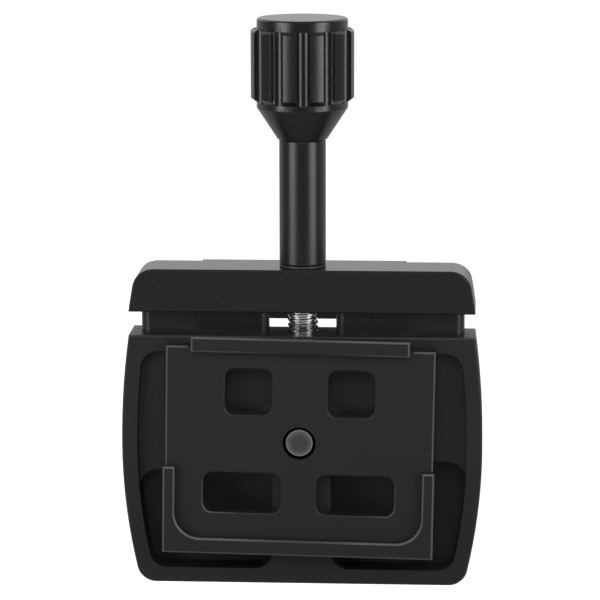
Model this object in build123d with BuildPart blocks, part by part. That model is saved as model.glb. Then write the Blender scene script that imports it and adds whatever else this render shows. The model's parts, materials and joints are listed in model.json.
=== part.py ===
"""Dovetail quick release clamp with a screw knob and a bolted head plate.

Millimetres. The clamp stands on the end face of its fixed jaw. X runs along the dovetail channel,
Y points from the underside, which carries the head plate, to the channel, and Z points up the clamp
screw to the knob. The origin is where the clamp screw's axis meets the end face.
"""

import os
from math import cos, radians, sin, sqrt, tan

from build123d import *

os.makedirs("parts", exist_ok=True)

# Clamp body: a slab with barrel-shaped sides, and the fixed jaw at its foot
body_length = 49.4
base_thickness = 10.2
screw_to_underside = 5.2
widest_half_width = 35.15
widest_height = 27.7
upper_side_radius = 152.0
lower_side_radius = 112.0
body_corner_radius = 3.8
edge_break = 0.3

# Dovetail channel
dovetail_width = 38.0
clamped_gap = 1.4
channel_depth = 4.8
lip_nose = 1.1
dovetail_angle = 45.0
lip_end_inset = 2.4

# Both jaws: the bevel that ends each outer end face, shallower along a raised crown
jaw_end_bevel = 4.5
crown_bevel = 3.0
crown_half_width = 20.0

# Moving jaw and the two flat guide tongues milled on it
rest_gap = 4.6
jaw_length = 8.4
jaw_corner_radius = 4.1
tongue_inset = 6.5
tongue_side_wall = 2.1
tongue_thickness = 4.0
tongue_length = 17.8
tongue_clearance = 0.05
slot_end_clearance = 0.5

# Underside pockets; the deep ones end a drop below the centre screw
rim_width = 3.0
slot_cover = 1.35
shallow_pocket_top_wall = 3.1
pocket_corner_radius = 3.5
boss_radius = 9.5
upper_rib_width = 9.6
lower_rib_width = 11.4
deep_pocket_floor = 4.5
deep_pocket_drop_left = 6.5
deep_pocket_drop_right = 4.4

# Centre screw, which bolts the head plate to the body a little to one side of the middle
centre_screw_drop = 20.5
centre_screw_x = -0.3
centre_screw_diameter = 6.35
centre_screw_clearance = 0.15
centre_screw_end_chamfer = 0.5
centre_screw_end_recess = 0.6
head_diameter = 9.4
head_height = 3.2
head_clearance = 0.3
head_recess = 0.4
hex_key = 3.97
hex_depth = 1.9

# Clamp screw
screw_diameter = 6.0
thread_clearance = 0.05
shank_clearance = 0.08
screw_tip_clearance = 0.8
screw_tip_chamfer = 0.8
tap_end_wall = 1.4
ring_shoulder = 1.0
ring_thickness = 0.7
ring_groove_depth = 0.35
ring_side_clearance = 0.05
ring_pocket_clearance = 0.3
ring_pocket_cover = 0.4
ring_opening = 60.0

# Sleeve and washer between the moving jaw and the knob
washer_thickness = 0.5
running_gap = 0.05
sleeve_diameter = 9.0
sleeve_length = 24.4
sleeve_fit = 0.05
sleeve_chamfer = 0.25

# Knob: a cone, a plain band, a fluted grip and a collar
cone_foot_diameter = 9.6
cone_length = 6.1
band_diameter = 17.6
band_length = 1.05
knob_diameter = 20.0
grip_length = 14.05
grip_foot_chamfer = 0.95
grip_head_chamfer = 0.5
flute_count = 12
flute_depth = 1.3
flute_radius = 1.3
flute_turn = 4.4
collar_diameter = 17.5
collar_length = 2.1
collar_chamfer = 0.3
knob_bore_depth = 17.0
knob_bore_clearance = 0.03

# Head plate: a slab with a lipped strip at its top and a lipped U round its foot, which sits
# turned a little about the centre screw
plate_turn = 1.0
plate_slab_width = 52.0
plate_flange_width = 52.6
plate_height = 42.9
plate_below_screw = 22.0
slab_thickness = 3.0
slab_chamfer = 0.3
slab_corner_radius = 0.7
flange_rise = 2.0
flange_edge = 0.6
flange_overhang = 2.2
flange_chamfer = 0.35
top_strip_width = 42.1
top_strip_height = 2.95
foot_strip_height = 3.05
arm_width = 2.3
arm_height = 17.1
arm_corner_radius = 5.0
plate_hole_clearance = 0.05
upper_window_width = 9.15
upper_window_height = 9.2
upper_window_offset = 10.0
upper_window_rise = 9.95
lower_window_width = 15.2
lower_window_height = 7.95
lower_window_offset = 11.05
lower_window_drop = 10.15
window_corner_radius = 1.9
window_chamfer = 0.2

# Levels across the clamp, from the plate side to the channel side
underside_y = -screw_to_underside
floor_y = base_thickness - screw_to_underside
jaw_top_y = floor_y + channel_depth
lip_overhang = (channel_depth - lip_nose) * tan(radians(dovetail_angle))
slab_face_y = underside_y - slab_thickness

# Heights along the clamp screw
fixed_root_z = body_length + clamped_gap - dovetail_width
fixed_lip_z = fixed_root_z + lip_overhang
jaw_z = body_length + rest_gap
jaw_end_z = jaw_z + jaw_length
washer_z = jaw_end_z + running_gap
sleeve_z = washer_z + washer_thickness
knob_z = sleeve_z + sleeve_length
band_z = knob_z + cone_length
grip_z = band_z + band_length
collar_z = grip_z + grip_length
knob_end_z = collar_z + collar_length


def half_width(z):
    """Half the body's width at a height: two arcs that meet tangent at the widest point."""
    radius = upper_side_radius if z > widest_height else lower_side_radius
    rise = z - widest_height
    return widest_half_width - radius + sqrt(radius**2 - rise**2)


# Guide tongues
tongue_outer_x = half_width(body_length) - tongue_side_wall
tongue_width = tongue_outer_x - tongue_inset
tongue_x = (tongue_outer_x + tongue_inset) / 2

# Centre screw and clamp screw
centre_z = body_length - centre_screw_drop
deep_pocket_top_left = centre_z - deep_pocket_drop_left
deep_pocket_top_right = centre_z - deep_pocket_drop_right
counterbore_radius = head_diameter / 2 + head_clearance
counterbore_depth = head_height + head_recess
seat_y = floor_y - counterbore_depth
tap_depth = centre_screw_drop - counterbore_radius - tap_end_wall
screw_reach = tap_depth - screw_tip_clearance
screw_tip_z = jaw_z - screw_reach
screw_end_z = knob_z + knob_bore_depth - running_gap
ring_radius = screw_diameter / 2 + ring_shoulder
ring_pocket_depth = ring_pocket_cover + ring_thickness + 2 * ring_side_clearance
ring_z = jaw_z + ring_pocket_cover + ring_side_clearance
shallow_pocket_depth = screw_to_underside - tongue_thickness / 2 - tongue_clearance - slot_cover

# Knob radii
knob_radius = knob_diameter / 2
band_radius = band_diameter / 2
collar_radius = collar_diameter / 2

# Head plate, measured from the centre screw up its own turned height
plate_foot = -plate_below_screw
plate_top = plate_foot + plate_height
slab_foot = plate_foot + flange_overhang
slab_top = plate_top - flange_overhang
plate_across = (cos(radians(plate_turn)), 0, -sin(radians(plate_turn)))
plate_centre = (centre_screw_x, slab_face_y, centre_z)
plate_face = Plane(plate_centre, x_dir=plate_across, z_dir=(0, -1, 0))
plate_section = Plane(plate_centre, x_dir=(0, 1, 0), z_dir=plate_across)


def side_outline(foot, top, shift):
    """Right half of the barrel outline between two heights, drawn shift higher than on the body."""
    span = [foot - shift, top - shift]
    knees = [span[0]] + [widest_height] * (span[0] < widest_height < span[1]) + [span[1]]
    for low, high in zip(knees, knees[1:]):
        middle = (low + high) / 2
        ThreePointArc(*[(half_width(z), z + shift) for z in (low, middle, high)])
    Polyline((half_width(span[1]), top), (0, top), (0, foot), (half_width(span[0]), foot))


def foot_corners(sketch):
    """The two corners at the foot of an upright outline."""
    return sketch.vertices().group_by(Axis.Y)[0]


def head_corners(sketch):
    """The two corners at the head of an upright outline."""
    return sketch.vertices().group_by(Axis.Y)[-1]


def bevel_profile(plane, end_z, inward, bevel):
    """The triangle that a bevel takes off the corner of a jaw's end face and its top."""
    with BuildSketch(plane) as profile:
        with BuildLine():
            Polyline(
                (jaw_top_y + bevel, end_z + 2 * inward * bevel),
                (jaw_top_y - 2 * bevel, end_z - inward * bevel),
                (jaw_top_y + bevel, end_z - inward * bevel),
                close=True,
            )
        make_face()
    return profile.sketch


def cut_end_bevels(end_z, inward):
    """Bevel a jaw's outer end: a shallow bevel all along, and a deeper one beside the crown."""
    crown = bevel_profile(Plane.YZ, end_z, inward, crown_bevel)
    extrude(crown, amount=2 * widest_half_width, both=True, mode=Mode.SUBTRACT)
    for side in (-1, 1):
        plane = Plane.YZ.offset(side * crown_half_width)
        beside = bevel_profile(plane, end_z, inward, jaw_end_bevel)
        extrude(beside, amount=side * widest_half_width, mode=Mode.SUBTRACT)


def lipped_strip(edge, inward, height, width):
    """A strip on the head plate's face, undercut at 45 degrees behind its outer edge."""
    with BuildSketch(plate_section) as profile:
        with BuildLine():
            Polyline(
                (-flange_rise, edge + inward * height),
                (-flange_rise, edge),
                (flange_edge - flange_rise, edge),
                (flange_edge - flange_rise + flange_overhang, edge + inward * flange_overhang),
                (flange_edge - flange_rise + flange_overhang, edge + inward * height),
                close=True,
            )
        make_face()
    extrude(profile.sketch, amount=width / 2, both=True)


# Clamp body
with BuildPart() as clamp_body:
    with BuildSketch(Plane.XZ.offset(screw_to_underside)) as body_outline:
        with BuildLine():
            side_outline(0, body_length, 0)
        make_face()
        mirror(about=Plane.YZ)
        fillet(foot_corners(body_outline), body_corner_radius)
    extrude(amount=-(base_thickness + channel_depth))
    chamfer(clamp_body.faces().sort_by(Axis.Y)[0].edges(), edge_break)

    # The channel, undercut below the fixed jaw's lip
    with BuildSketch(Plane.YZ):
        with BuildLine():
            Polyline(
                (floor_y, fixed_root_z),
                (jaw_top_y - lip_nose, fixed_lip_z),
                (jaw_top_y + lip_nose, fixed_lip_z),
                (jaw_top_y + lip_nose, body_length + edge_break),
                (floor_y, body_length + edge_break),
                close=True,
            )
        make_face()
    extrude(amount=2 * widest_half_width, both=True, mode=Mode.SUBTRACT)
    cut_end_bevels(0, 1)

    # Slots for the guide tongues
    with BuildSketch(Plane.XY.offset(body_length)):
        with Locations((-tongue_x, 0), (tongue_x, 0)):
            SlotOverall(tongue_width + 2 * tongue_clearance, tongue_thickness + 2 * tongue_clearance)
    extrude(amount=-(tongue_length + slot_end_clearance), mode=Mode.SUBTRACT)

    # Tapped hole for the clamp screw
    with BuildSketch(Plane.XY.offset(body_length)):
        Circle(screw_diameter / 2 + thread_clearance)
    extrude(amount=-tap_depth, mode=Mode.SUBTRACT)

    # Shallow pocket in the underside, round the boss and the rib over the tapped hole
    with BuildSketch(Plane.XZ.offset(screw_to_underside)) as shallow_pocket:
        with BuildLine():
            side_outline(0, body_length, 0)
        make_face()
        mirror(about=Plane.YZ)
        offset(amount=-rim_width)
        shallow_foot = min(deep_pocket_top_left, deep_pocket_top_right) - pocket_corner_radius
        with Locations((0, shallow_foot - body_length)):
            Rectangle(2 * widest_half_width, 2 * body_length, mode=Mode.SUBTRACT)
        with Locations((0, body_length)):
            Rectangle(2 * widest_half_width, 2 * shallow_pocket_top_wall, mode=Mode.SUBTRACT)
        fillet(head_corners(shallow_pocket), pocket_corner_radius)
        with Locations((centre_screw_x, centre_z)):
            Circle(boss_radius, mode=Mode.SUBTRACT)
        with Locations((0, body_length)):
            Rectangle(upper_rib_width, 2 * centre_screw_drop, mode=Mode.SUBTRACT)
        with Locations((0, centre_z - centre_screw_drop / 2)):
            Rectangle(lower_rib_width, centre_screw_drop, mode=Mode.SUBTRACT)
    extrude(amount=-shallow_pocket_depth, mode=Mode.SUBTRACT)

    # Deep pockets in its foot, either side of the rib below the boss
    for side, pocket_top in ((-1, deep_pocket_top_left), (1, deep_pocket_top_right)):
        with BuildSketch(Plane.XZ.offset(screw_to_underside)) as deep_pocket:
            with BuildLine():
                side_outline(0, body_length, 0)
            make_face()
            mirror(about=Plane.YZ)
            offset(amount=-rim_width)
            with Locations((0, pocket_top + body_length)):
                Rectangle(2 * widest_half_width, 2 * body_length, mode=Mode.SUBTRACT)
            with Locations((-side * (widest_half_width - lower_rib_width / 2), 0)):
                Rectangle(2 * widest_half_width, 2 * body_length, mode=Mode.SUBTRACT)
            fillet(foot_corners(deep_pocket), pocket_corner_radius)
            fillet(head_corners(deep_pocket).sort_by(Axis.X)[0 if side < 0 else -1], pocket_corner_radius)
            with Locations((centre_screw_x, centre_z)):
                Circle(boss_radius, mode=Mode.SUBTRACT)
        extrude(amount=-(base_thickness - deep_pocket_floor), mode=Mode.SUBTRACT)

    # Counterbored hole for the centre screw, its head in the channel floor
    with Locations(Plane((centre_screw_x, floor_y, centre_z), x_dir=(1, 0, 0), z_dir=(0, 1, 0))):
        CounterBoreHole(
            centre_screw_diameter / 2 + centre_screw_clearance,
            counterbore_radius,
            counterbore_depth,
        )

clamp_body.part.label = "clamp_body"
export_step(clamp_body.part, "parts/clamp_body.step")

# Moving jaw
with BuildPart() as moving_jaw:
    with BuildSketch(Plane.XZ.offset(screw_to_underside)) as jaw_outline:
        with BuildLine():
            side_outline(jaw_z, jaw_end_z, rest_gap)
        make_face()
        mirror(about=Plane.YZ)
        fillet(head_corners(jaw_outline), jaw_corner_radius)
    extrude(amount=-(base_thickness + channel_depth))
    chamfer(moving_jaw.faces().sort_by(Axis.Y)[0].edges(), edge_break)
    cut_end_bevels(jaw_end_z, -1)

    # Dovetail lip over the channel
    with BuildSketch(Plane.YZ):
        with BuildLine():
            Polyline(
                (floor_y, jaw_z),
                (jaw_top_y - lip_nose, jaw_z - lip_overhang),
                (jaw_top_y, jaw_z - lip_overhang),
                (jaw_top_y, jaw_z),
                close=True,
            )
        make_face()
    extrude(amount=half_width(body_length) - lip_end_inset, both=True)

    # Guide tongues with full-round edges
    with BuildSketch(Plane.XY.offset(jaw_z)):
        with Locations((-tongue_x, 0), (tongue_x, 0)):
            SlotOverall(tongue_width, tongue_thickness)
    extrude(amount=-tongue_length)

    # Hole for the clamp screw's shank, with a pocket for its retaining ring
    with BuildSketch(Plane.XY.offset(jaw_z)):
        Circle(screw_diameter / 2 + shank_clearance)
    extrude(amount=jaw_length, mode=Mode.SUBTRACT)
    with BuildSketch(Plane.XY.offset(jaw_z)):
        Circle(ring_radius + ring_pocket_clearance)
    extrude(amount=ring_pocket_depth, mode=Mode.SUBTRACT)

moving_jaw.part.label = "moving_jaw"
export_step(moving_jaw.part, "parts/moving_jaw.step")

# Clamp screw: threaded foot, ring groove and plain shank
with BuildPart() as clamp_screw:
    with BuildSketch(Plane.XZ):
        with BuildLine():
            Polyline(
                (0, screw_tip_z),
                (screw_diameter / 2 - screw_tip_chamfer, screw_tip_z),
                (screw_diameter / 2, screw_tip_z + screw_tip_chamfer),
                (screw_diameter / 2, ring_z - ring_side_clearance),
                (screw_diameter / 2 - ring_groove_depth, ring_z - ring_side_clearance),
                (screw_diameter / 2 - ring_groove_depth, ring_z + ring_thickness + ring_side_clearance),
                (screw_diameter / 2, ring_z + ring_thickness + ring_side_clearance),
                (screw_diameter / 2, screw_end_z),
                (0, screw_end_z),
                close=True,
            )
        make_face()
    revolve(axis=Axis.Z)

clamp_screw.part.label = "clamp_screw"
export_step(clamp_screw.part, "parts/clamp_screw.step")

# Retaining ring, snapped into the screw's groove under the jaw
with BuildPart() as retaining_ring:
    with BuildSketch(Plane.XY.offset(ring_z)):
        Circle(ring_radius)
        Circle(screw_diameter / 2 - ring_groove_depth + ring_side_clearance, mode=Mode.SUBTRACT)
        with BuildLine():
            mouth = ring_opening / 2
            Polyline(
                (0, 0),
                (2 * ring_radius * cos(radians(mouth)), 2 * ring_radius * sin(radians(mouth))),
                (2 * ring_radius * cos(radians(mouth)), -2 * ring_radius * sin(radians(mouth))),
                close=True,
            )
        make_face(mode=Mode.SUBTRACT)
    extrude(amount=ring_thickness)

retaining_ring.part.label = "retaining_ring"
export_step(retaining_ring.part, "parts/retaining_ring.step")

# Thrust washer on the jaw's end face
with BuildPart() as thrust_washer:
    with BuildSketch(Plane.XY.offset(washer_z)):
        Circle(sleeve_diameter / 2)
        Circle(screw_diameter / 2 + sleeve_fit, mode=Mode.SUBTRACT)
    extrude(amount=washer_thickness)

thrust_washer.part.label = "thrust_washer"
export_step(thrust_washer.part, "parts/thrust_washer.step")

# Sleeve that holds the knob off the jaw
with BuildPart() as screw_sleeve:
    with BuildSketch(Plane.XY.offset(sleeve_z)):
        Circle(sleeve_diameter / 2)
        Circle(screw_diameter / 2 + sleeve_fit, mode=Mode.SUBTRACT)
    extrude(amount=sleeve_length)
    sleeve_rims = screw_sleeve.edges().filter_by(GeomType.CIRCLE).group_by(SortBy.RADIUS)[-1]
    chamfer(sleeve_rims, sleeve_chamfer)

screw_sleeve.part.label = "screw_sleeve"
export_step(screw_sleeve.part, "parts/screw_sleeve.step")

# Knob, turned in one piece, with the flutes cut along its grip
with BuildPart() as knob:
    with BuildSketch(Plane.XZ):
        with BuildLine():
            Polyline(
                (0, knob_z),
                (cone_foot_diameter / 2, knob_z),
                (band_radius, band_z),
                (band_radius, grip_z),
                (knob_radius, grip_z + grip_foot_chamfer),
                (knob_radius, collar_z - grip_head_chamfer),
                (knob_radius - grip_head_chamfer, collar_z),
                (collar_radius, collar_z),
                (collar_radius, knob_end_z - collar_chamfer),
                (collar_radius - collar_chamfer, knob_end_z),
                (0, knob_end_z),
                close=True,
            )
        make_face()
    revolve(axis=Axis.Z)
    with BuildSketch(Plane.XY.offset(grip_z)):
        flute_circle = knob_radius - flute_depth + flute_radius
        with PolarLocations(flute_circle, flute_count, start_angle=flute_turn - 90):
            Circle(flute_radius)
    extrude(amount=grip_length, mode=Mode.SUBTRACT)
    with BuildSketch(Plane.XY.offset(knob_z)):
        Circle(screw_diameter / 2 + knob_bore_clearance)
    extrude(amount=knob_bore_depth, mode=Mode.SUBTRACT)

knob.part.label = "knob"
export_step(knob.part, "parts/knob.step")

# Head plate
with BuildPart() as head_plate:
    with BuildSketch(plate_face):
        with Locations((0, (slab_foot + slab_top) / 2)):
            Rectangle(plate_slab_width, slab_top - slab_foot)
    extrude(amount=-slab_thickness)
    chamfer(head_plate.faces().sort_by(Axis.Y)[0].edges(), slab_chamfer)

    # Inner corners where the slab's top meets the ends of the top strip
    with BuildSketch(plate_face):
        filled = top_strip_width + 2 * slab_corner_radius
        with Locations((0, slab_top)):
            Rectangle(filled, 2 * slab_corner_radius)
            Rectangle(top_strip_width, 2 * slab_corner_radius, mode=Mode.SUBTRACT)
        with Locations(*[(side * filled / 2, slab_top + slab_corner_radius) for side in (-1, 1)]):
            Circle(slab_corner_radius, mode=Mode.SUBTRACT)
    extrude(amount=-slab_thickness)

    # Windows, with their edges broken
    with BuildSketch(plate_face):
        with Locations((-upper_window_offset, upper_window_rise), (upper_window_offset, upper_window_rise)):
            RectangleRounded(upper_window_width, upper_window_height, window_corner_radius)
        with Locations((-lower_window_offset, -lower_window_drop), (lower_window_offset, -lower_window_drop)):
            RectangleRounded(lower_window_width, lower_window_height, window_corner_radius)
    extrude(amount=-slab_thickness, mode=Mode.SUBTRACT)
    slab_front = head_plate.faces().sort_by(Axis.Y)[0]
    chamfer([edge for wire in slab_front.inner_wires() for edge in wire.edges()], window_chamfer)

    # Strips along the top and the foot
    lipped_strip(plate_top, -1, top_strip_height, top_strip_width)
    lipped_strip(plate_foot, 1, foot_strip_height, plate_flange_width)

    # Arms that run up from the foot strip, round an inner corner
    with BuildSketch(plate_face):
        with Locations((0, plate_foot + (foot_strip_height + arm_height) / 2)):
            Rectangle(plate_flange_width, arm_height - foot_strip_height)
        with Locations((0, plate_foot + foot_strip_height + arm_height)):
            RectangleRounded(
                plate_flange_width - 2 * arm_width,
                2 * arm_height,
                arm_corner_radius,
                mode=Mode.SUBTRACT,
            )
    extrude(amount=flange_rise)
    with BuildSketch(plate_face):
        Circle(centre_screw_diameter / 2 + plate_hole_clearance)
    extrude(amount=-slab_thickness, mode=Mode.SUBTRACT)
    chamfer(head_plate.faces().filter_by(Axis.Y).group_by(Axis.Y)[0].edges(), flange_chamfer)

head_plate.part.label = "head_plate"
export_step(head_plate.part, "parts/head_plate.step")

# Centre screw: socket head in the channel floor, end just short of the plate's face
with BuildPart() as centre_screw:
    with BuildSketch(Plane((centre_screw_x, 0, centre_z))):
        with BuildLine():
            head_y = seat_y + head_height
            end_y = slab_face_y + centre_screw_end_recess
            shank_radius = centre_screw_diameter / 2
            Polyline(
                (0, head_y),
                (head_diameter / 2 - edge_break, head_y),
                (head_diameter / 2, head_y - edge_break),
                (head_diameter / 2, seat_y),
                (shank_radius, seat_y),
                (shank_radius, end_y + centre_screw_end_chamfer),
                (shank_radius - centre_screw_end_chamfer, end_y),
                (0, end_y),
                close=True,
            )
        make_face()
    revolve(axis=Axis((centre_screw_x, 0, centre_z), (0, 1, 0)))
    with BuildSketch(Plane((centre_screw_x, head_y, centre_z), x_dir=(1, 0, 0), z_dir=(0, 1, 0))):
        RegularPolygon(hex_key / 2, 6, major_radius=False)
    extrude(amount=-hex_depth, mode=Mode.SUBTRACT)

centre_screw.part.label = "centre_screw"
export_step(centre_screw.part, "parts/centre_screw.step")
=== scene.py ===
"""Dovetail quick release clamp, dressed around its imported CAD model.

Metres, in the frame of the CAD part: X runs along the dovetail channel, Y from the head plate to
the channel, and Z up the clamp screw. The clamp stands on its fixed jaw, plate side to the camera.
"""

import json
from math import cos, hypot, pi, radians, sin

import bmesh
import bpy
from mathutils import Matrix, Vector

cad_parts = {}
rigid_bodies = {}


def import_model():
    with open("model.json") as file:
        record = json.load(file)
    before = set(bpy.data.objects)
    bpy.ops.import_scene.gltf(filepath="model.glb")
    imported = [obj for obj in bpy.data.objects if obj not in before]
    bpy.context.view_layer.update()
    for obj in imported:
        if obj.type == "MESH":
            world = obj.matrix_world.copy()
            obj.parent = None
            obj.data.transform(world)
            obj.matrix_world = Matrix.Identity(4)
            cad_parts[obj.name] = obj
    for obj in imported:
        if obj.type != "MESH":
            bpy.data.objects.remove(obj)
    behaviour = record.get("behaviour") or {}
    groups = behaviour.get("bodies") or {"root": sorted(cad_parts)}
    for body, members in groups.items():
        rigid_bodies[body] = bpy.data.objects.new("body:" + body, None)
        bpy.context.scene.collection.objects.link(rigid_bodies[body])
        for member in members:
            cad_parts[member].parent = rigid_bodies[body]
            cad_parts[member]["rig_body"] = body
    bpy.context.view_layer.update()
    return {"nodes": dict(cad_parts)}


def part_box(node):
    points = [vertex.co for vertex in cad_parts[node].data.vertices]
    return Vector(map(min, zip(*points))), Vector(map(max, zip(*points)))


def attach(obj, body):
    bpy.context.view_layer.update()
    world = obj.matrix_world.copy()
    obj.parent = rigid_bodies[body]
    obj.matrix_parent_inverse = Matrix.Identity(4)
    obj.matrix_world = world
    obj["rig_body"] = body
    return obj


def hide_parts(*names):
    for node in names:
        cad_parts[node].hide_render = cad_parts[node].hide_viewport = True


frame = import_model()
mm = 0.001

# Camera: a long lens almost level with the clamp, a little above the knob and a little to the
# right of the plate, as for a catalogue picture.
camera_place = Vector((33.4, -569.1, 162.7)) * mm
camera_azimuth = radians(3.414)
camera_pitch = radians(10.632)
camera_roll = radians(-0.121)

lens = bpy.data.cameras.new("catalogue_lens")
lens.lens = 178.84
lens.sensor_width = 36
lens.sensor_fit = "HORIZONTAL"
lens.clip_start = 0.05
camera = bpy.data.objects.new("catalogue_camera", lens)
camera.matrix_world = (
    Matrix.Translation(camera_place)
    @ Matrix.Rotation(camera_azimuth, 4, "Z")
    @ Matrix.Rotation(pi / 2 - camera_pitch, 4, "X")
    @ Matrix.Rotation(camera_roll, 4, "Z")
)
bpy.context.scene.collection.objects.link(camera)
bpy.context.scene.camera = camera
bpy.context.scene.view_settings.view_transform = "Standard"


# Studio room: a white backdrop behind the clamp, greyer below the horizon, and a dim room round the
# rest of it. Gloss shows both, the camera sees plain white all round, and the light is soft.
def linear(hex_colour):
    """An sRGB hex colour as the linear RGBA that shaders take."""
    parts = [int(hex_colour[i : i + 2], 16) / 255 for i in (1, 3, 5)]
    return [p / 12.92 if p <= 0.04045 else ((p + 0.055) / 1.055) ** 2.4 for p in parts] + [1]


def node(tree, kind, links=(), **settings):
    """Add a shader node with its settings, and give its inputs values or links."""
    made = tree.nodes.new("ShaderNode" + kind)
    for name, value in settings.items():
        setattr(made, name, value)
    for name, value in dict(links).items():
        if isinstance(value, bpy.types.NodeSocket):
            tree.links.new(value, made.inputs[name])
        else:
            made.inputs[name].default_value = value
    return made


backdrop_white = linear("#ffffff")
backdrop_foot = linear("#c8c8c8")
soft_light = linear("#7c7c7c")
dim_room = linear("#4a4a4a")
backdrop_edge = (-0.3, 0.6)
horizon_edge = (0.0, 0.1)

world = bpy.data.worlds.new("studio_room")
world.use_nodes = True
bpy.context.scene.world = world
tree = world.node_tree
tree.nodes.clear()
ways = node(tree, "SeparateXYZ", {0: node(tree, "TexCoord").outputs["Generated"]}).outputs
backdrop = node(
    tree,
    "MapRange",
    {0: ways["Y"], 1: backdrop_edge[0], 2: backdrop_edge[1], 3: 0.0, 4: 1.0},
    interpolation_type="SMOOTHSTEP",
).outputs[0]
above = node(
    tree, "MapRange", {0: ways["Z"], 1: horizon_edge[0], 2: horizon_edge[1], 3: 0.0, 4: 1.0}
).outputs[0]
path = node(tree, "LightPath").outputs
rays = {0: path["Is Glossy Ray"], 1: path["Is Transmission Ray"]}
bent = node(tree, "Math", rays, operation="ADD").outputs[0]
behind = {0: above, 6: backdrop_foot, 7: backdrop_white}
seen = node(tree, "Mix", behind, data_type="RGBA").outputs[2]
seen = node(tree, "Mix", {0: backdrop, 6: dim_room, 7: seen}, data_type="RGBA").outputs[2]
seen = node(tree, "Mix", {0: bent, 6: soft_light, 7: seen}, data_type="RGBA").outputs[2]
camera_ray = path["Is Camera Ray"]
seen = node(tree, "Mix", {0: camera_ray, 6: seen, 7: backdrop_white}, data_type="RGBA").outputs[2]
glow = node(tree, "Background", {"Color": seen, "Strength": 1.0})
node(tree, "OutputWorld", {"Surface": glow.outputs[0]})

# Paper: one white sheet that lies under the clamp and runs back to the backdrop. The camera sees it
# as white as the backdrop, gloss sees a share of that behind the clamp, and elsewhere it is matt.
paper_white = linear("#b2b2b0")
paper_glow = 0.95
far_gloss_share = 0.3
far_edge = (-20 * mm, 60 * mm)
paper_front = -360 * mm
paper_back = 3000 * mm
paper_half_width = 300 * mm

paper_mesh = bpy.data.meshes.new("paper_sheet")
bm = bmesh.new()
bmesh.ops.create_grid(bm, x_segments=2, y_segments=2, size=1.0)
bmesh.ops.scale(bm, vec=(paper_half_width, (paper_back - paper_front) / 2, 1), verts=bm.verts)
bmesh.ops.translate(bm, vec=(0, (paper_back + paper_front) / 2, 0), verts=bm.verts)
bm.to_mesh(paper_mesh)
bm.free()
paper_sheet = bpy.data.objects.new("paper_sheet", paper_mesh)
bpy.context.scene.collection.objects.link(paper_sheet)

paper = bpy.data.materials.new("white_paper")
paper.use_nodes = True
tree = paper.node_tree
tree.nodes.clear()
ways = node(tree, "SeparateXYZ", {0: node(tree, "TexCoord").outputs["Object"]}).outputs
far_part = node(
    tree,
    "MapRange",
    {0: ways["Y"], 1: far_edge[0], 2: far_edge[1], 3: 0.0, 4: 1.0},
    interpolation_type="SMOOTHSTEP",
).outputs[0]
path = node(tree, "LightPath").outputs
rays = {0: path["Is Glossy Ray"], 1: path["Is Transmission Ray"]}
bent = node(tree, "Math", rays, operation="ADD").outputs[0]
far_gloss = node(tree, "Math", {0: bent, 1: far_part}, operation="MULTIPLY").outputs[0]
far_shown = node(tree, "Math", {0: far_gloss, 1: far_gloss_share}, operation="MULTIPLY").outputs[0]
shown = node(tree, "Math", {0: path["Is Camera Ray"], 1: far_shown}, operation="MAXIMUM").outputs[0]
matt = node(tree, "BsdfDiffuse", {"Color": paper_white}).outputs[0]
lit = node(tree, "Emission", {"Color": backdrop_white, "Strength": paper_glow}).outputs[0]
both = node(tree, "AddShader", {0: matt, 1: lit}).outputs[0]
by_ray = node(tree, "MixShader", {0: shown, 1: matt, 2: both})
node(tree, "OutputMaterial", {"Surface": by_ray.outputs[0]})
paper_mesh.materials.append(paper)

# Soft boxes: a tall one on each side of the camera, which give the round pieces their two upright
# highlights, and a broad one over the camera, which shades the plate under its lips.
soft_box_distance = 750 * mm
clamp_middle = Vector((0, 0, 50)) * mm
for turn, lift, width, height, power in (
    (-50.5, 190 * mm, 400 * mm, 700 * mm, 4.4),
    (50.5, 190 * mm, 400 * mm, 700 * mm, 4.4),
    (0, 650 * mm, 500 * mm, 500 * mm, 3.6),
):
    lamp = bpy.data.lights.new("soft_box", "AREA")
    lamp.shape = "RECTANGLE"
    lamp.size = width
    lamp.size_y = height
    lamp.energy = power
    box = bpy.data.objects.new("soft_box", lamp)
    azimuth = radians(turn) + camera_azimuth
    place = Vector((sin(azimuth), -cos(azimuth), 0)) * soft_box_distance + Vector((0, 0, lift))
    aim = (clamp_middle - place).to_track_quat("-Z", "Y").to_matrix().to_4x4()
    box.matrix_world = Matrix.Translation(place) @ aim
    bpy.context.scene.collection.objects.link(box)

# Clamp body: a slab milled from aluminium bar, with the fixed jaw left standing at its foot. It is
# bead blasted and black anodised, and its edges are broken by hand before the blasting.
weld_gap = 0.001 * mm
flat_angle = 0.4
least_edge_angle = 24
smooth_angle = 38
milled_edge = 0.12 * mm

# The dye clouds over some millimetres. The blasting's dimples are drawn three times their real
# size, so that they show as a faint grain.
cloud_size = 9 * mm
bead_size = 0.3 * mm
bead_depth = 0.006 * mm
bead_gloss = 0.04

# A broken edge faces between the front and the side, and gets a painted highlight there: full past
# a distance from the middle of the plate side, and faint within.
broken_face_y = -0.65
broken_reach = (0.2, 0.3)
glint_fade_centre = (0, 0, 29 * mm)
glint_fade_start = (20 * mm, 25 * mm)
least_glint = 0.15


def ease_edges(bm, width, steps):
    """Round over the edges where a bmesh turns by more than the least edge angle."""
    sharp = [e for e in bm.edges if e.calc_face_angle(0) > radians(least_edge_angle)]
    bmesh.ops.bevel(
        bm,
        geom=sharp,
        offset=width,
        segments=steps,
        profile=0.5,
        affect="EDGES",
        clamp_overlap=True,
        material=-1,
    )


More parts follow.
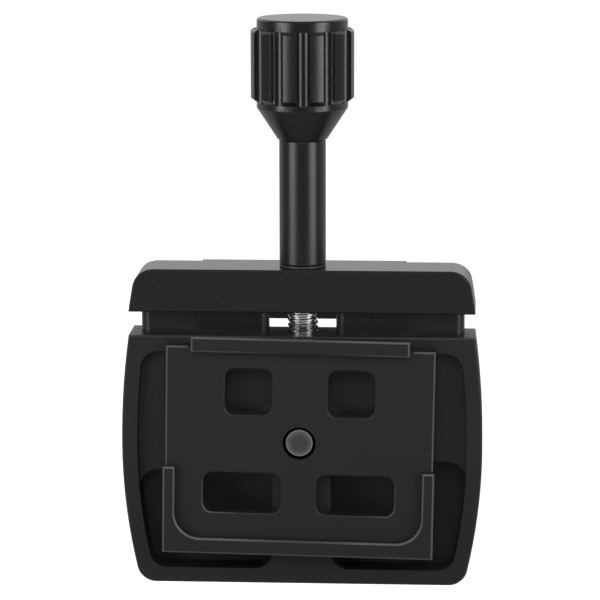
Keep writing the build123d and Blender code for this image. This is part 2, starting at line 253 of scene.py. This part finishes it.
def solid_copy(name):
    """The CAD node's own shape as one closed bmesh, its flat faces made whole again."""
    bm = bmesh.new()
    bm.from_mesh(frame["nodes"][name].data)
    bmesh.ops.remove_doubles(bm, verts=bm.verts, dist=weld_gap)
    bmesh.ops.dissolve_limit(
        bm, angle_limit=radians(flat_angle), verts=bm.verts, edges=bm.edges, delimit={"NORMAL"}
    )
    return bm


def finished(bm, title, name, finish):
    """Turn a bmesh into a smooth piece that rides with a CAD node's body and replaces the node."""
    mesh = bpy.data.meshes.new(title)
    bm.to_mesh(mesh)
    bm.free()
    mesh.shade_smooth()
    mesh.set_sharp_from_angle(angle=radians(smooth_angle))
    mesh.materials.clear()
    mesh.materials.append(finish)
    piece = bpy.data.objects.new(title, mesh)
    bpy.context.scene.collection.objects.link(piece)
    even = piece.modifiers.new("even_normals", "WEIGHTED_NORMAL")
    even.keep_sharp = True
    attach(piece, frame["nodes"][name]["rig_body"])
    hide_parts(name)


def blasted_anodising(title, dye, faded, glint_tone, roughness):
    """Black anodised aluminium: a dyed glassy oxide, which mirrors the backdrop at a low angle.

    The broken edges between the front and the sides, the outer ones most, get a painted highlight
    in fine lines.
    """
    made = bpy.data.materials.new(title)
    made.use_nodes = True
    tree = made.node_tree
    tree.nodes.clear()
    place = node(tree, "TexCoord").outputs["Object"]
    cloud = node(tree, "TexNoise", {"Vector": place, "Scale": 1 / cloud_size, "Detail": 3})
    beads = node(tree, "TexNoise", {"Vector": place, "Scale": 1 / bead_size, "Detail": 2})
    dyed = {0: cloud.outputs[0], 6: linear(dye), 7: linear(faded)}
    colour = node(tree, "Mix", dyed, data_type="RGBA").outputs[2]
    # Painted highlight: a lighter tone on faces tilted between the front and a side, fainter near
    # the middle.
    facing = node(tree, "SeparateXYZ", {0: node(tree, "NewGeometry").outputs["True Normal"]})
    tilt = node(tree, "Math", {0: facing.outputs["Y"], 1: broken_face_y}, operation="SUBTRACT")
    away = node(tree, "Math", {0: tilt.outputs[0]}, operation="ABSOLUTE").outputs[0]
    broken = node(
        tree, "MapRange", {0: away, 1: broken_reach[0], 2: broken_reach[1], 3: 1.0, 4: 0.0}
    ).outputs[0]
    reach = node(tree, "VectorMath", {0: place, 1: glint_fade_centre}, operation="DISTANCE")
    glint_fade = node(
        tree,
        "MapRange",
        {0: reach.outputs["Value"], 1: glint_fade_start[0], 2: glint_fade_start[1], 3: least_glint, 4: 1.0},
    ).outputs[0]
    painted_glint = node(tree, "Math", {0: broken, 1: glint_fade}, operation="MULTIPLY").outputs[0]
    colour = node(tree, "Mix", {0: painted_glint, 6: colour, 7: linear(glint_tone)}, data_type="RGBA").outputs[2]
    gloss = node(
        tree,
        "MapRange",
        {0: beads.outputs[0], 1: 0.3, 2: 0.7, 3: roughness - bead_gloss, 4: roughness + bead_gloss},
    )
    dimples = node(
        tree, "Bump", {"Height": beads.outputs[0], "Strength": 0.2, "Distance": bead_depth}
    )
    skin = node(
        tree,
        "BsdfPrincipled",
        {
            "Base Color": colour,
            "Metallic": 0.0,
            "IOR": 1.4,
            "Roughness": gloss.outputs[0],
            "Normal": dimples.outputs[0],
        },
    )
    node(tree, "OutputMaterial", {"Surface": skin.outputs[0]})
    return made


# An even, soft black, with a painted highlight on its broken edges hardly lighter than its faces.
body_finish = blasted_anodising("blasted_anodising_body", "#171717", "#1b1b1b", "#2e2e2e", 0.42)
bm = solid_copy("clamp_body")
ease_edges(bm, milled_edge, 2)
finished(bm, "milled_clamp_body", "clamp_body", body_finish)

# Moving jaw: the same bar stock, with its two guide tongues milled in one piece with it. Its finish
# is a little glossier, so that its end face shows the backdrop, and its broken edges get a faint
# painted highlight.
jaw_finish = blasted_anodising("blasted_anodising_jaw", "#161616", "#1a1a1a", "#202020", 0.28)
bm = solid_copy("moving_jaw")
ease_edges(bm, milled_edge, 2)
finished(bm, "milled_moving_jaw", "moving_jaw", jaw_finish)

# Head plate: milled from flat bar, with lipped strips along its top and foot for a tripod head. Its
# broken edges carry a painted highlight in fine grey lines.
plate_edge = 0.14 * mm
plate_finish = blasted_anodising("blasted_anodising_plate", "#171717", "#1b1b1b", "#4c4c4c", 0.42)
bm = solid_copy("head_plate")
ease_edges(bm, plate_edge, 3)
finished(bm, "milled_head_plate", "head_plate", plate_finish)

# Centre screw: a socket head cap screw of dark oiled steel. Its faced end lies a little below the
# plate, with a painted highlight in a band near its edge and painted shade on the chamfer round it.
tool_gloss = 0.03
band_blur = 0.05 * mm
small_edge = 0.08 * mm


def turned_marks(tree, centre, along, pitch):
    """Fine lines round an axis, as a lathe tool leaves them, and the distance from that axis."""
    place = node(
        tree,
        "VectorMath",
        {0: node(tree, "TexCoord").outputs["Object"], 1: centre},
        operation="SUBTRACT",
    ).outputs[0]
    run = node(tree, "VectorMath", {0: place, 1: along}, operation="DOT_PRODUCT").outputs["Value"]
    across = [1 - share for share in along]
    off_axis = node(tree, "VectorMath", {0: place, 1: across}, operation="MULTIPLY").outputs[0]
    radius = node(tree, "VectorMath", {0: off_axis}, operation="LENGTH").outputs["Value"]
    feed = node(tree, "Math", {0: run, 1: radius}, operation="ADD").outputs[0]
    marks = node(
        tree,
        "TexNoise",
        {"W": feed, "Scale": 1 / pitch, "Detail": 3, "Roughness": 0.6},
        noise_dimensions="1D",
    )
    return marks.outputs[0], radius


def turned_finish(
    title,
    dark,
    light,
    metallic,
    roughness,
    pitch,
    depth,
    centre=(0, 0, 0),
    along=(0, 0, 1),
    painted_light_bands=(),
):
    """A turned surface, its colour, gloss and height all varied by the marks of the lathe tool.

    The marks are drawn a few times coarser than a tool leaves them, so that they show. From each
    band's radius outwards the surface takes that band's tone, which paints light and shade in
    rings.
    """
    made = bpy.data.materials.new(title)
    made.use_nodes = True
    tree = made.node_tree
    tree.nodes.clear()
    marks, radius = turned_marks(tree, centre, along, pitch)
    toned = {0: marks, 6: linear(dark), 7: linear(light)}
    colour = node(tree, "Mix", toned, data_type="RGBA").outputs[2]
    for band_radius, tone in painted_light_bands:
        past = node(
            tree,
            "MapRange",
            {0: radius, 1: band_radius - band_blur, 2: band_radius + band_blur, 3: 0.0, 4: 1.0},
        )
        toned = {0: past.outputs[0], 6: colour, 7: linear(tone)}
        colour = node(tree, "Mix", toned, data_type="RGBA").outputs[2]
    gloss = node(
        tree,
        "MapRange",
        {0: marks, 1: 0.3, 2: 0.7, 3: roughness + tool_gloss, 4: roughness - tool_gloss},
    )
    lines = node(tree, "Bump", {"Height": marks, "Strength": 0.12, "Distance": depth})
    skin = node(
        tree,
        "BsdfPrincipled",
        {
            "Base Color": colour,
            "Metallic": metallic,
            "IOR": 1.5,
            "Roughness": gloss.outputs[0],
            "Normal": lines.outputs[0],
        },
    )
    node(tree, "OutputMaterial", {"Surface": skin.outputs[0]})
    return made


low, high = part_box("centre_screw")
oiled_steel = turned_finish(
    "dark_oiled_steel",
    "#565656",
    "#646464",
    1.0,
    0.4,
    0.25 * mm,
    0.004 * mm,
    centre=((low[0] + high[0]) / 2, 0, (low[2] + high[2]) / 2),
    along=(0, 1, 0),
    # Painted light in rings on the end: a painted highlight brightening towards its edge, then
    # painted shade on the chamfer.
    painted_light_bands=(
        (1.6 * mm, "#6e6e6e"),
        (2.1 * mm, "#808080"),
        (2.4 * mm, "#a8a8a8"),
        (2.58 * mm, "#101010"),
    ),
)
bm = solid_copy("centre_screw")
ease_edges(bm, small_edge, 2)
finished(bm, "socket_head_centre_screw", "centre_screw", oiled_steel)

# Clamp screw: an M6 screw of bright steel, rolled thread at its foot and a ground shank above,
# with a groove for the retaining ring. The knob and the sleeve are fixed on the shank.
thread_pitch = 1.0 * mm
thread_steps = 72
spare_turns = 2
thread_stop = 0.12 * mm
run_out = 0.3 * mm
shank_radius = 3.0 * mm
shank_chamfer = 0.3 * mm
tip_chamfer = 0.8 * mm
groove_radius = 2.65 * mm
groove_play = 0.05 * mm

# The crests and roots are broad flats, so that each mirrors the soft boxes as a bright ring.
crest_radius = 2.98 * mm
root_radius = 2.68 * mm
crest_flat = 0.3 * mm
flank = 0.2 * mm

low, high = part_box("clamp_screw")
tip_z, shank_top_z = low[2], high[2]
ring_low, ring_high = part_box("retaining_ring")
thread_top_z = ring_low[2] - thread_stop
groove_low_z = ring_low[2] - groove_play
groove_high_z = ring_high[2] + groove_play

bm = bmesh.new()
chain = []
turns = int((thread_top_z - tip_z) / thread_pitch) + 2 * spare_turns
for turn in range(turns):
    foot = tip_z + (turn - spare_turns) * thread_pitch
    for radius, rise in (
        (root_radius, 0),
        (root_radius, thread_pitch - 2 * flank - crest_flat),
        (crest_radius, thread_pitch - flank - crest_flat),
        (crest_radius, thread_pitch - flank),
    ):
        chain.append(bm.verts.new((radius, 0, foot + rise)))
edges = [bm.edges.new(pair) for pair in zip(chain, chain[1:])]
bmesh.ops.spin(
    bm,
    geom=chain + edges,
    axis=(0, 0, 1),
    cent=(0, 0, 0),
    dvec=(0, 0, thread_pitch / thread_steps),
    angle=2 * pi,
    steps=thread_steps,
    use_merge=False,
)
bmesh.ops.remove_doubles(bm, verts=bm.verts, dist=weld_gap)
for height, up in ((tip_z, -1), (thread_top_z, 1)):
    bmesh.ops.bisect_plane(
        bm,
        geom=bm.verts[:] + bm.edges[:] + bm.faces[:],
        dist=0.0001 * mm,
        plane_co=(0, 0, height),
        plane_no=(0, 0, up),
        clear_outer=True,
    )
for vert in bm.verts:
    radius = hypot(vert.co.x, vert.co.y)
    faded = max(0, min(1, (vert.co.z - thread_top_z + run_out) / run_out))
    wanted = radius + (shank_radius - radius) * faded
    wanted = min(wanted, shank_radius - tip_chamfer + vert.co.z - tip_z)
    vert.co.x *= wanted / radius
    vert.co.y *= wanted / radius


def rim(bm, height):
    """The open edges that lie at a height."""
    near = 0.01 * mm
    open_edges = [e for e in bm.edges if e.is_boundary]
    return [e for e in open_edges if all(abs(v.co.z - height) < near for v in e.verts)]


bmesh.ops.edgeloop_fill(bm, edges=rim(bm, tip_z))
loop = rim(bm, thread_top_z)
for radius, height in (
    (shank_radius, groove_low_z),
    (groove_radius, groove_low_z),
    (groove_radius, groove_high_z),
    (shank_radius, groove_high_z),
    (shank_radius, shank_top_z - shank_chamfer),
    (shank_radius - shank_chamfer, shank_top_z),
):
    new = bmesh.ops.extrude_edge_only(bm, edges=loop)["geom"]
    for vert in [v for v in new if isinstance(v, bmesh.types.BMVert)]:
        scale = radius / hypot(vert.co.x, vert.co.y)
        vert.co = (vert.co.x * scale, vert.co.y * scale, height)
    loop = [e for e in new if isinstance(e, bmesh.types.BMEdge) and e.is_boundary]
bmesh.ops.edgeloop_fill(bm, edges=loop)
bmesh.ops.recalc_face_normals(bm, faces=bm.faces)
bright_steel = turned_finish(
    "bright_rolled_steel", "#c4c4c4", "#d6d6d6", 1.0, 0.2, 0.2 * mm, 0.004 * mm
)
finished(bm, "threaded_clamp_screw", "clamp_screw", bright_steel)

# Retaining ring: an open ring of spring steel, blued, snapped into the screw's groove under the
# jaw, so that the screw draws the jaw both ways.
ring_mouth = 60
ring_steps = 60
low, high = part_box("retaining_ring")
ring_outer = high[1]
ring_inner = groove_radius + groove_play

bm = bmesh.new()
corners = [
    bm.verts.new((radius, 0, height))
    for radius, height in (
        (ring_inner, low[2]),
        (ring_outer, low[2]),
        (ring_outer, high[2]),
        (ring_inner, high[2]),
    )
]
section = bm.faces.new(corners)
bmesh.ops.rotate(
    bm, verts=corners, cent=(0, 0, 0), matrix=Matrix.Rotation(radians(ring_mouth / 2), 3, "Z")
)
bmesh.ops.spin(
    bm,
    geom=[section],
    axis=(0, 0, 1),
    cent=(0, 0, 0),
    angle=radians(360 - ring_mouth),
    steps=ring_steps,
)
bmesh.ops.recalc_face_normals(bm, faces=bm.faces)
ease_edges(bm, small_edge, 2)
spring_steel = turned_finish(
    "blued_spring_steel", "#4a4b50", "#5c5d62", 1.0, 0.35, 0.15 * mm, 0.003 * mm
)
finished(bm, "snapped_retaining_ring", "retaining_ring", spring_steel)


# Thrust washer: a punched washer of dull black nylon between the sleeve and the jaw's end face,
# which lets the knob turn under load without marking the anodising.
def lathed(outline, steps=96):
    """A closed bmesh of revolution about Z, from an outline of radii and heights."""
    bm = bmesh.new()
    chain = [bm.verts.new((radius, 0, height)) for radius, height in outline]
    edges = [bm.edges.new(pair) for pair in zip(chain, chain[1:] + chain[:1])]
    bmesh.ops.spin(
        bm,
        geom=chain + edges,
        axis=(0, 0, 1),
        cent=(0, 0, 0),
        angle=2 * pi,
        steps=steps,
        use_merge=True,
    )
    bmesh.ops.remove_doubles(bm, verts=bm.verts, dist=weld_gap)
    bmesh.ops.recalc_face_normals(bm, faces=bm.faces)
    return bm


shank_hole = 3.05 * mm
low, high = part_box("thrust_washer")
bm = lathed(((shank_hole, low[2]), (high[0], low[2]), (high[0], high[2]), (shank_hole, high[2])))
ease_edges(bm, small_edge, 2)
nylon = turned_finish("black_nylon", "#17171a", "#202023", 0.0, 0.5, 0.4 * mm, 0.004 * mm)
finished(bm, "nylon_thrust_washer", "thrust_washer", nylon)

# Sleeve: turned from aluminium rod with a small chamfer at each end, and anodised a deep black that
# shows two soft upright highlights. It holds the knob clear of the jaw and turns with it.
sleeve_chamfer = 0.25 * mm
sleeve_edge = 0.1 * mm
low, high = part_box("screw_sleeve")
sleeve_radius = high[0]
bm = lathed(
    (
        (shank_hole, low[2]),
        (sleeve_radius - sleeve_chamfer, low[2]),
        (sleeve_radius, low[2] + sleeve_chamfer),
        (sleeve_radius, high[2] - sleeve_chamfer),
        (sleeve_radius - sleeve_chamfer, high[2]),
        (shank_hole, high[2]),
    )
)
ease_edges(bm, sleeve_edge, 3)
sleeve_finish = turned_finish(
    "turned_anodising_sleeve", "#0b0b0c", "#101010", 0.0, 0.31, 0.3 * mm, 0.003 * mm
)
finished(bm, "turned_sleeve", "screw_sleeve", sleeve_finish)

# Knob: turned from aluminium rod and black anodised, with twelve flutes milled along its grip and
# their edges broken in the tumbler. It is the glossiest black, with fine rings on its cone.
knob_edge = 0.16 * mm
knob_finish = turned_finish(
    "turned_anodising_knob", "#0d0d0e", "#121213", 0.0, 0.28, 0.3 * mm, 0.004 * mm
)
bm = solid_copy("knob")
ease_edges(bm, knob_edge, 3)
finished(bm, "fluted_knob", "knob", knob_finish)
